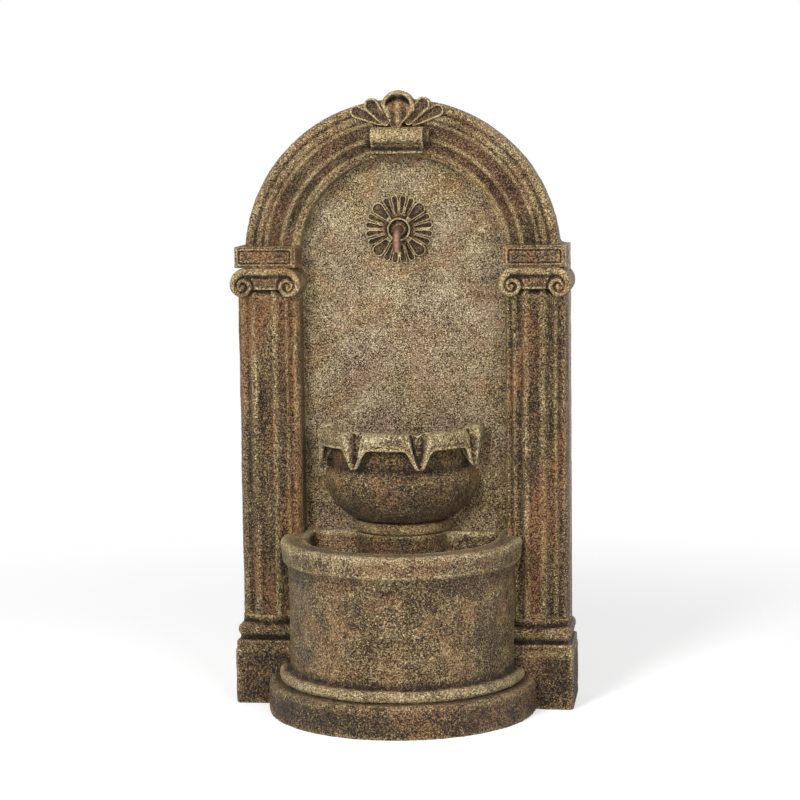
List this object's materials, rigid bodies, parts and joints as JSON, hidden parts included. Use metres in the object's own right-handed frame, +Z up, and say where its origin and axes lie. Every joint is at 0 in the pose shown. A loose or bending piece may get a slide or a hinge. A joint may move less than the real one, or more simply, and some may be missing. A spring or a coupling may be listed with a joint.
{
  "type": "floor fountain",
  "caption": "Arched wall fountain with fluted columns, a scalloped half bowl and a D-shaped basin; a pump lifts water to a copper spout.",
  "frame": {"origin": "on the floor under the middle of the fountain's box", "axes": "+X to the right seen from the front, +Y towards the back, +Z up"},
  "size_m": [0.658, 0.397, 1.1809],
  "materials": {
    "cast_stone": "pitted cast stone, antique bronze wash",
    "rusty_stone": "pitted cast stone, rust-brown wash",
    "copper": "satin copper tube",
    "brass": "machined brass",
    "black_rubber": "matt moulded rubber",
    "black_plastic": "moulded plastic",
    "white_plastic": "moulded plastic",
    "white_ceramic": "polished ceramic rod",
    "clear_vinyl": "clear vinyl tube",
    "steel": "plated worm-drive band"
  },
  "bodies": {
    "fountain": {"back_wall": "cast_stone", "arch_moulding": "cast_stone", "left_plinth": "cast_stone", "right_plinth": "cast_stone", "left_column_base": "cast_stone", "right_column_base": "cast_stone", "left_shaft": "rusty_stone", "right_shaft": "rusty_stone", "left_capital": "rusty_stone", "right_capital": "rusty_stone", "left_impost": "rusty_stone", "right_impost": "rusty_stone", "scroll_roll": "cast_stone", "shell_crest": "cast_stone", "spout_rosette": "cast_stone", "upper_bowl": "cast_stone", "bowl_lip": "cast_stone", "bowl_ring": "cast_stone", "basin": "cast_stone", "bottom_slab": "cast_stone", "spout_tube": "copper", "spout_washer": "black_rubber", "spout_locknut": "brass", "spout_elbow": "brass", "feed_pipe": "black_plastic", "feed_grommet": "black_rubber", "feed_elbow": "black_plastic", "stem_hose": "clear_vinyl", "wall_hose": "clear_vinyl", "hose_clamps": "steel", "pump_housing": "black_plastic", "pump_chamber_cover": "black_plastic", "impeller_shaft": "white_ceramic", "suction_cups": "black_rubber", "cord_gland": "black_rubber"},
    "stem cover": {"bowl_stem": "cast_stone"},
    "drain plug": {"drain_plug": "black_rubber"},
    "pump strainer": {"pump_strainer": "black_plastic"},
    "flow dial": {"flow_dial": "black_plastic"},
    "impeller": {"impeller": "white_plastic"}
  },
  "joints": [
    {"name": "stem_cover_pull", "type": "slide", "parent": "fountain", "child": "stem cover", "axis": [0, -1, 0], "range_m": [0, 0.1]},
    {"name": "drain_plug_lift", "type": "slide", "parent": "fountain", "child": "drain plug", "axis": [0, 0, 1], "range_m": [0, 0.04]},
    {"name": "strainer_pull", "type": "slide", "parent": "fountain", "child": "pump strainer", "axis": [-1, 0, 0], "range_m": [0, 0.018]},
    {"name": "flow_dial_turn", "type": "hinge", "parent": "pump strainer", "child": "flow dial", "pos_m": [-0.03, 0.0965, 0.117], "axis": [1, 0, 0], "range_deg": [0, 90]},
    {"name": "impeller_spin", "type": "hinge", "parent": "fountain", "child": "impeller", "pos_m": [0.01, 0.0965, 0.117], "axis": [1, 0, 0], "continuous": true}
  ]
}
